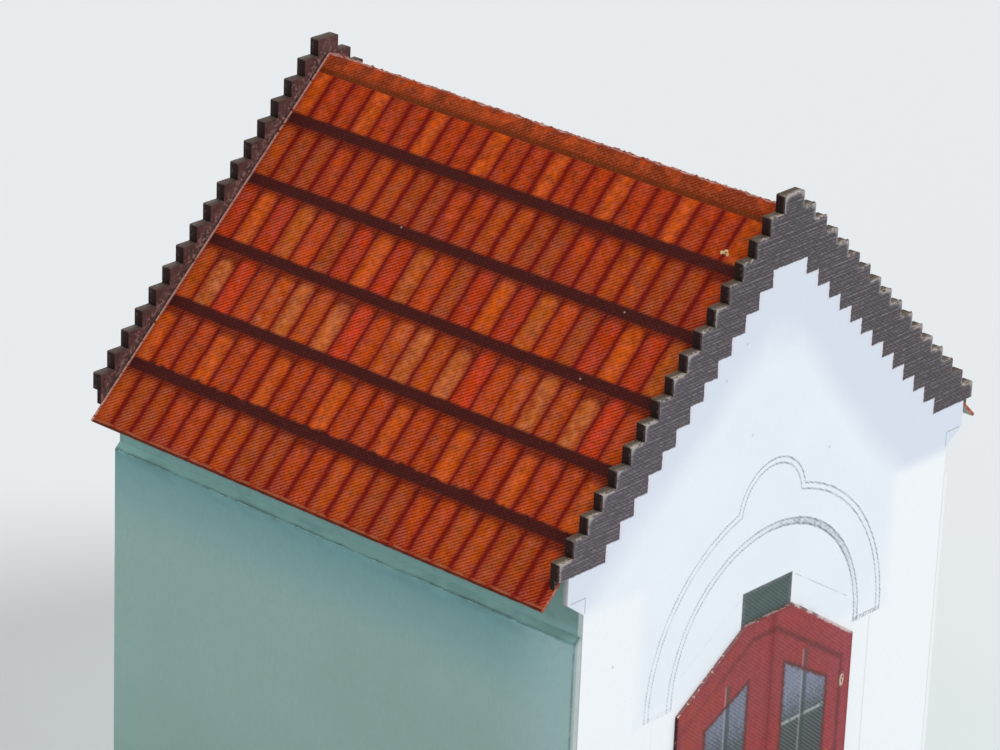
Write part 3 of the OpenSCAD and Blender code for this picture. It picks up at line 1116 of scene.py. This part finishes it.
# %% The door's finish
def door_finish():
    finish = Finish("printed_door")
    x, z = finish.x, finish.z
    tone = door_marks(finish, panes_print(finish, panel_tone(finish)))
    depth = inside(finish, PANEL)
    flakes = finish.cloud(0.3, seed=19)
    wobble = (flakes - 0.5) * 0.3
    right = x > DOOR_MIDDLE + 2.6
    left = x < DOOR_MIDDLE
    on_shoulder = z.rise(20.2, 20.6)
    tone = tone.lay(depth.fall(0.1, 0.35) * 0.35, "#7d3336")
    dashes = (x * 4.1 + finish.cloud(0.5, detail=2, seed=20) * 5).cos().rise(-0.2, 0.5)
    dashes = dashes & x.fall(5.0, 7.5)
    bare = finish.tone("#d9c9c6").lay(dashes * 0.8, "#4a3c3a")
    tone = tone.lay((depth + wobble).fall(0.1, 0.3) & right & on_shoulder * 0.85, bare)
    cream = (depth + wobble * 1.6).fall(0.05, 0.3) & flakes.rise(0.6, 0.68) & on_shoulder & left
    tone = tone.lay(cream * 0.8, "#d8c0a4")

    jamb = finish.tone("#4a262b").lay(flakes.rise(0.56, 0.64) * 0.6, "#9d7a72")
    left_top = finish.tone("#8a5f5f").lay(flakes.rise(0.58, 0.66), "#cdb8a4")
    flat_top = finish.tone("#a98f8b").lay(flakes.rise(0.44, 0.54) * 0.8, "#5b3a34")
    sloped = left_top.lay(z > door_high.z - 0.1, flat_top).lay(right, bare)
    edge = jamb.lay(finish.facing_z > 0.3, sloped)
    return finish.complete(tone.lay(finish.facing_y > -0.5, edge), roughness=0.55)


dress("door_panel", door_finish())
print("door stands", round(door_high.z, 1), "mm tall and", round(2 * DOOR_HALF, 1), "mm wide")

# %% [markdown]
# Each gable has a second card behind its sheet, and short strips of slate-brown paper line
# the back of the steps. Their cut edges were painted nearly black with a brush, and the
# paint has come off in specks. Below the steps the edge is bare.

# %% Gable cards and linings
def card_finish():
    finish = Finish("grey_card")
    flakes = finish.cloud(0.25, detail=4, seed=21)
    depth_in = -FRONT_FACE - abs(finish.y)
    bare = finish.tone("#b9bcb4").mottle(1.5, 0.24, detail=4, seed=22)
    bare = bare.mottle(0.12, 0.16, stretch=(1, 1, 0.3), seed=23)
    tone = bare.lay(abs(finish.facing_y) < 0.5, gable_edge(finish, flakes, depth_in))
    return finish.complete(tone, roughness=0.75, grain=0.5)


# the linings are this far behind the worn front of a step
BEHIND_FRONT = 0.5


def lining_finish():
    finish = Finish("slate_lining")
    flakes = finish.cloud(0.22, detail=4, seed=24)
    patches = finish.cloud(0.9, seed=25)
    tone = finish.tone("#5f4341").lay(patches.rise(0.42, 0.6) * 0.6, "#473130")
    tone = tone.mottle(0.3, 0.8, seed=55)
    tone = tone.lay(patches.rise(0.56, 0.7) & flakes.rise(0.44, 0.62) * 0.6, "#94827d")
    above_roof = (finish.z - RIDGE + abs(finish.x) * SLOPE) * SLOPE_COS
    dots = above_roof.fall(0.2, 1.0) & flakes.rise(0.5, 0.62)
    tone = tone.lay(dots * 0.5, "#a8807a")
    tone = tone.lay(abs(finish.facing_y) < 0.5, step_edge(finish, flakes, finish.even(BEHIND_FRONT)))
    return finish.complete(tone, roughness=0.7, grain=0.4)


grey_card = card_finish()
slate_lining = lining_finish()
for gable in ("front", "back"):
    dress(f"{gable}_gable_card", grey_card)
    for side in ("left", "right"):
        dress(f"{gable}_{side}_lining", slate_lining)
print("card and linings:", grey_card.name, slate_lining.name)

# %% [markdown]
# The side walls are tinted paper over card, grey-green and almost plain. Painted shade
# makes them bluer and darker under the eaves. The lower part has a second layer that ends
# in a small sloping ledge, whose top is painted darker towards the front as shade. Along its
# foot runs a soft dark line of dirt and painted shade, with painted shade in patches below
# it. At the front corners the end of that layer shows as a narrow strip: greyer on the left
# as painted shade, clean on the right.

# %% Side walls
WALL = "#9fbeb8"
# painted shade under the eaves
WALL_EAVE_SHADE = "#7dabae"
WALL_FRONT = "#aacac9"
# painted shade on the wall card above the ledge
ABOVE_LEDGE_SHADED = "#8ab3af"
LEDGE_SLOPE = "#a8d8d2"
# dirt, and painted shade below the ledge
DIRT_AND_SHADE = "#56757a"
END_STRIP = 0.32


def wall_tone(finish):
    """Tinted paper, lighter at the front, with painted shade that makes it darker and bluer under the
    eave.
    """
    clouds = finish.sway(9, 1, seed=27)
    tone = finish.tone(WALL)
    # Painted shade: bluer and darker towards the eave
    tone = tone.lay((finish.z + clouds * 3).rise(22.5, 31.5), WALL_EAVE_SHADE)
    tone = tone.lay(finish.y.fall(-22.5, -15) * 0.85, WALL_FRONT)
    tone = tone.shade(0.97 + clouds * 0.14)
    fibres = finish.cloud(0.3, detail=4, stretch=(1, 1, 0.6), seed=28)
    return tone.shade(0.93 + fibres * 0.14)


def wall_card_finish():
    finish = Finish("wall_card")
    # Painted shade: the card above the ledge is darker than the wall, darkest just under the eave
    tone = wall_tone(finish).lay(finish.z.rise(LEDGE - 0.4, LEDGE) * 0.9, ABOVE_LEDGE_SHADED)
    tone = tone.lay(finish.z.rise(LEDGE + 0.2, LEDGE + 0.9) * 0.6, "#7d9a94")
    tone = tone.lay(finish.cloud(1.4, detail=4, seed=59).rise(0.5, 0.7) * 0.2, DIRT_AND_SHADE)
    inward = (finish.x.work("SIGN") * finish.facing_x) < 0.5
    tone = tone.lay(inward, finish.tone("#bdbfb8").mottle(2, 0.24, detail=2, seed=30))
    return finish.complete(tone, roughness=0.75, grain=0.4)


def corner_strip(finish, rough):
    """The end of the upper layer, seen from the front: greyer on the left as painted shade, clean on
    the right.
    """
    seam = (abs(finish.x) - WALL_HALF - 0.04).stroke(0.1, 0.08)
    # Painted shade greys the left end; the right end stays clean
    greyed = finish.tone("#b6c2c0").shade(0.85 + rough * 0.3).lay(seam * 0.5, "#80868a")
    clean = finish.tone("#eef3f3").lay(seam * 0.4, "#b9bfc4")
    return greyed.lay(finish.x > 0, clean)


def wall_facing_finish():
    finish = Finish("wall_facing")
    tone = wall_tone(finish)
    grime_and_shade = finish.cloud(1.1, stretch=(1, 0.45, 1), seed=29)
    from_front = finish.y - facing_low.y
    # Painted shade: the ledge's sloping top is darker towards its front end
    slope = finish.tone(LEDGE_SLOPE).shade(0.58 + from_front.rise(0.5, 7) * 0.32 + grime_and_shade * 0.2)
    tone = tone.lay(finish.facing_z > 0.3, slope)
    # Painted shade in patches just below the ledge's foot, and a line of dirt and painted shade along
    # it
    tone = tone.lay(finish.z.rise(LEDGE_FOOT - 1.6, LEDGE_FOOT) & grime_and_shade.rise(0.42, 0.65) * 0.25, DIRT_AND_SHADE)
    at_foot = (finish.z - LEDGE_FOOT).stroke(0.22, 0.2)
    tone = tone.lay(at_foot * (grime_and_shade.rise(0.34, 0.62) * 0.55 + 0.12), DIRT_AND_SHADE)
    # The paper's end shows as a worn strip round the front corner
    rough = finish.cloud(0.3, stretch=(1, 1, 0.5), seed=56)
    seam = (from_front - END_STRIP).stroke(0.2, 0.18) * (rough.rise(0.34, 0.55) * 0.3 + 0.3)
    tone = tone.lay(seam, "#66757c")
    tone = tone.lay(from_front.fall(0.12, 0.26) * 0.75, "#c4d0ce")
    tone = tone.lay(abs(finish.facing_y) > 0.5, corner_strip(finish, rough))
    return finish.complete(tone, roughness=0.75, grain=0.4)


wall_card = wall_card_finish()
wall_facing = wall_facing_finish()
for side in ("left", "right"):
    dress(f"{side}_wall_card", wall_card)
    dress(f"{side}_wall_facing", wall_facing)
print("ledge at", round(LEDGE, 2), "mm, its foot at", round(LEDGE_FOOT, 2))

# %% [markdown]
# Inside, folded flaps hold the sheets together. They are seen only from below: white
# paper that has yellowed a little, with dried glue along the folds.

# %% Glue flaps
def flap_finish():
    finish = Finish("glue_flap")
    tone = finish.tone("#e4e0d4").mottle(1.8, 0.16, detail=4, seed=32)
    glue = finish.cloud(1.1, detail=2, seed=33).rise(0.58, 0.66)
    tone = tone.lay(glue * 0.4, "#c2b490")
    return finish.complete(tone, roughness=0.65)


glue_flap = flap_finish()
flaps = [name for name in nodes if name.endswith("_flap")]
for name in flaps:
    dress(name, glue_flap)
print("flaps:", len(flaps))

# %% [markdown]
# A few things on this model stand out from the card: fibres where the fold and the treads
# have frayed, a drop of dried glue, and a thin bead of dirt along the left ledge. They are
# so thin that they can't be cut from card like the rest. Each starts as a simple shape of
# the right size and is roughened by a cloud pattern, which gives torn paper its random edge.

# %% Helpers for small torn things
def roughen(piece, size, strength, direction, group=""):
    """Pushes a piece in and out by a pattern of clouds."""
    clouds = bpy.data.textures.new("torn_clouds", "CLOUDS")
    clouds.noise_scale = size * MM
    rough = piece.modifiers.new("rough", "DISPLACE")
    rough.texture = clouds
    rough.texture_coords = "LOCAL"
    rough.direction = direction
    rough.strength = strength * MM
    rough.vertex_group = group
    bpy.ops.object.modifier_apply(modifier="rough")


def apply_place():
    """The selected piece keeps its place, and its object goes back to the origin."""
    bpy.ops.object.transform_apply(location=True, rotation=True, scale=True)


def merge(pieces, name):
    """Several small pieces become one."""
    deselect()
    for piece in pieces:
        piece.select_set(True)
    bpy.context.view_layer.objects.active = pieces[0]
    apply_place()
    bpy.ops.object.join()
    merged = bpy.context.object
    merged.name = name
    return merged


def turn_outward():
    """All faces of the selected piece look outward."""
    bpy.ops.object.mode_set(mode="EDIT")
    bpy.ops.mesh.select_all(action="SELECT")
    bpy.ops.mesh.normals_make_consistent(inside=False)
    bpy.ops.object.mode_set(mode="OBJECT")


def fit_in(piece, material):
    """A finished piece gets its finish and goes with the model."""
    turn_outward()
    piece.data.materials.clear()
    piece.data.materials.append(material)
    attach(piece, "root")
    places = [vertex.co / MM for vertex in piece.data.vertices]
    low, high = ([round(end(p[i] for p in places), 2) for i in range(3)] for end in (min, max))
    print(piece.name, "from", low, "to", high, "faces", len(piece.data.polygons))


# %% [markdown]
# Torn paper is a thin sheet with a wild upper edge. So the strip starts as a grid stood on
# its long side. Its upper points belong to a group that lets them move most, and the clouds
# then pull them up and down and sideways. A thickness is added last, as paper has one.

# %% Torn strip
PAPER_THICKNESS = 0.05


def torn_strip(name, length, height, columns, middle, turn=0.0):
    """An upright strip of torn paper, ragged along its top."""
    deselect()
    bpy.ops.mesh.primitive_grid_add(x_subdivisions=columns, y_subdivisions=4, size=MM)
    strip = bpy.context.object
    strip.name = name
    bpy.ops.transform.resize(value=(length, height, 1))
    apply_place()
    bpy.ops.object.mode_set(mode="EDIT")
    bpy.ops.transform.rotate(value=-math.pi / 2, orient_axis="X", center_override=(0, 0, 0))
    bpy.ops.transform.rotate(value=turn, orient_axis="Z", center_override=(0, 0, 0))
    bpy.ops.object.mode_set(mode="OBJECT")
    top = max(v.co.z for v in strip.data.vertices)
    bottom = min(v.co.z for v in strip.data.vertices)
    loose = strip.vertex_groups.new(name="loose")
    for vertex in strip.data.vertices:
        share = (vertex.co.z - bottom) / (top - bottom)
        loose.add([vertex.index], share, "REPLACE")
    strip.location = Vector(middle) * MM
    apply_place()
    roughen(strip, size=0.3, strength=height * 1.6, direction="Z", group="loose")
    roughen(strip, size=0.45, strength=0.16, direction="X" if turn else "Y", group="loose")
    thickness = strip.modifiers.new("thickness", "SOLIDIFY")
    thickness.thickness = PAPER_THICKNESS * MM
    thickness.offset = 0
    bpy.ops.object.modifier_apply(modifier="thickness")
    return strip


# %% [markdown]
# All small torn bits share one finish. It is the inside of the paper: fluffy, dull, and
# greyed by handling, with here and there a rest of the ink that broke away.

# %% Torn paper
def torn_finish(name, light, dark, rest):
    finish = Finish(name)
    tone = finish.tone(light).lay(finish.cloud(0.35, seed=63).rise(0.4, 0.62), dark)
    tone = tone.lay(finish.cloud(0.6, detail=2, seed=64).rise(0.5, 0.6) * 0.8, rest)
    return finish.complete(tone, roughness=0.85, grain=0.6, gloss=0.08)


# %% [markdown]
# The fold of the roof has cracked from end to end, so one long strip runs along it. Its
# fibres are about two tenths of a millimetre long, far lower than the caps of the gables.

# %% Frayed fold of the roof
FRAY_HEIGHT = 0.2
fold_fibres = torn_strip(
    "ridge_fibres",
    length=roof_high.y - roof_low.y - 0.1,
    height=FRAY_HEIGHT,
    columns=420,
    middle=(0, (roof_low.y + roof_high.y) / 2, roof_high.z - 0.03),
    turn=math.pi / 2,
)
torn_ridge = torn_finish("torn_ridge_paper", light="#ecc2b6", dark="#bd8678", rest="#a04a36")
fit_in(fold_fibres, torn_ridge)

# %% [markdown]
# On the treads of the front gable the paper has frayed near the outer corner of a step. One
# strip is modelled and then copied from step to step, longer or shorter, and now and then
# the other way round. About a third of the steps have none.

# %% Frayed treads of the front gable
draw = random.Random(11)
FRAYED_SHARE = 0.7
master = torn_strip("tread_fibres", length=1.0, height=0.16, columns=26, middle=(0, 0, 0))
copies = []
for level in range(1, STEPS):
    for side in (-1, 1):
        frayed, run, flip = draw.random(), draw.uniform(0.45, 1.15), draw.choice((-1, 1))
        if frayed > FRAYED_SHARE:
            continue
        outer_end = CAP_HALF + level * STEP_RUN - 0.05
        copy = master.copy()
        copy.data = master.data.copy()
        bpy.context.scene.collection.objects.link(copy)
        copy.scale = (run * flip, 1, 1)
        copy.location = Vector((
            side * (outer_end - run / 2),
            FRONT_FACE + PAPER_THICKNESS / 2 + 0.02,
            PEAK - level * STEP_RISE - 0.01,
        )) * MM
        copies.append(copy)
bpy.data.objects.remove(master)
frayed_treads = merge(copies, "front_tread_fibres")
torn_slates = torn_finish("torn_slate_paper", light="#b5aca5", dark="#6e655f", rest="#453c3c")
fit_in(frayed_treads, torn_slates)

# %% [markdown]
# A drop of glue once fell on the roof close to the front gable, and three blobs of it have
# run together. Balls of the right size are pressed flat on the slope and melted into one
# skin with a remesh, which is how such a drop looks when it has dried.

# %% Drop of glue on the roof
DROP_BLOBS = (
    # along the roof from its back edge, down the slope, radius
    (42.40, 5.05, 0.17),
    (42.66, 4.93, 0.20),
    (42.90, 5.10, 0.13),
)
DROP_FLATNESS = 0.45
SKIN_GRAIN = 0.025
blobs = []
for along, down, radius in DROP_BLOBS:
    deselect()
    on_roof = Vector((-down * math.cos(PITCH), roof_high.y - along, RIDGE - down * math.sin(PITCH)))
    bpy.ops.mesh.primitive_ico_sphere_add(
        subdivisions=3, radius=radius * MM, location=on_roof * MM, rotation=(0, -PITCH, 0)
    )
    blob = bpy.context.object
    blob.scale.z = DROP_FLATNESS
    blobs.append(blob)
drop = merge(blobs, "roof_glue_drop")
skin = drop.modifiers.new("skin", "REMESH")
skin.voxel_size = SKIN_GRAIN * MM
bpy.ops.object.modifier_apply(modifier="skin")
roughen(drop, size=0.12, strength=0.06, direction="NORMAL")
bpy.ops.object.shade_smooth()


def glue_finish():
    finish = Finish("dried_glue")
    tone = finish.tone("#d2a468")
    tone = tone.lay(finish.cloud(0.12, seed=65).rise(0.42, 0.6), "#e6cfa6")
    tone = tone.lay(finish.cloud(0.3, detail=2, seed=66).rise(0.54, 0.64) * 0.7, "#8a4a22")
    return finish.complete(tone, roughness=0.5, grain=0.4, gloss=0.3)


fit_in(drop, glue_finish())

# %% [markdown]
# Dust has gathered under the ledge of the left wall and forms a wavy line, thinner in some
# places. A long thin rod is cut across into many short lengths, and the clouds make it swell
# and shrink. Most of it lies inside the wall, so that only a low irregular bead is left.

# %% Bead of dirt under the left ledge
BEAD_RADIUS = 0.05
BEAD_CUTS = 160
bead_length = facing_high.y - facing_low.y - 0.6
bead_middle = Vector((facing_low.x + 0.02, (facing_low.y + facing_high.y) / 2, LEDGE_FOOT - 0.03))
deselect()
bpy.ops.mesh.primitive_cylinder_add(
    vertices=8,
    radius=BEAD_RADIUS * MM,
    depth=bead_length * MM,
    location=bead_middle * MM,
    rotation=(math.pi / 2, 0, 0),
)
bead = bpy.context.object
bead.name = "left_ledge_bead"
apply_place()
bpy.ops.object.mode_set(mode="EDIT")
bpy.ops.mesh.select_all(action="DESELECT")
mesh_now = bmesh.from_edit_mesh(bead.data)
for edge in mesh_now.edges:
    first, second = edge.verts
    edge.select_set(abs(first.co.y - second.co.y) > MM)
bmesh.update_edit_mesh(bead.data)
bpy.ops.mesh.subdivide(number_cuts=BEAD_CUTS)
bpy.ops.object.mode_set(mode="OBJECT")
roughen(bead, size=0.9, strength=0.1, direction="NORMAL")
roughen(bead, size=2.5, strength=0.12, direction="Z")
bpy.ops.object.shade_smooth()


def dirt_finish():
    finish = Finish("ledge_dirt")
    tone = finish.tone("#80a9a8")
    tone = tone.lay(finish.cloud(0.8, seed=67).rise(0.4, 0.62), "#9bc4be")
    tone = tone.lay(finish.cloud(0.3, seed=68).rise(0.55, 0.65) * 0.5, "#5a7678")
    return finish.complete(tone, roughness=0.85, grain=0.5, gloss=0.08)


fit_in(bead, dirt_finish())

# %% [markdown]
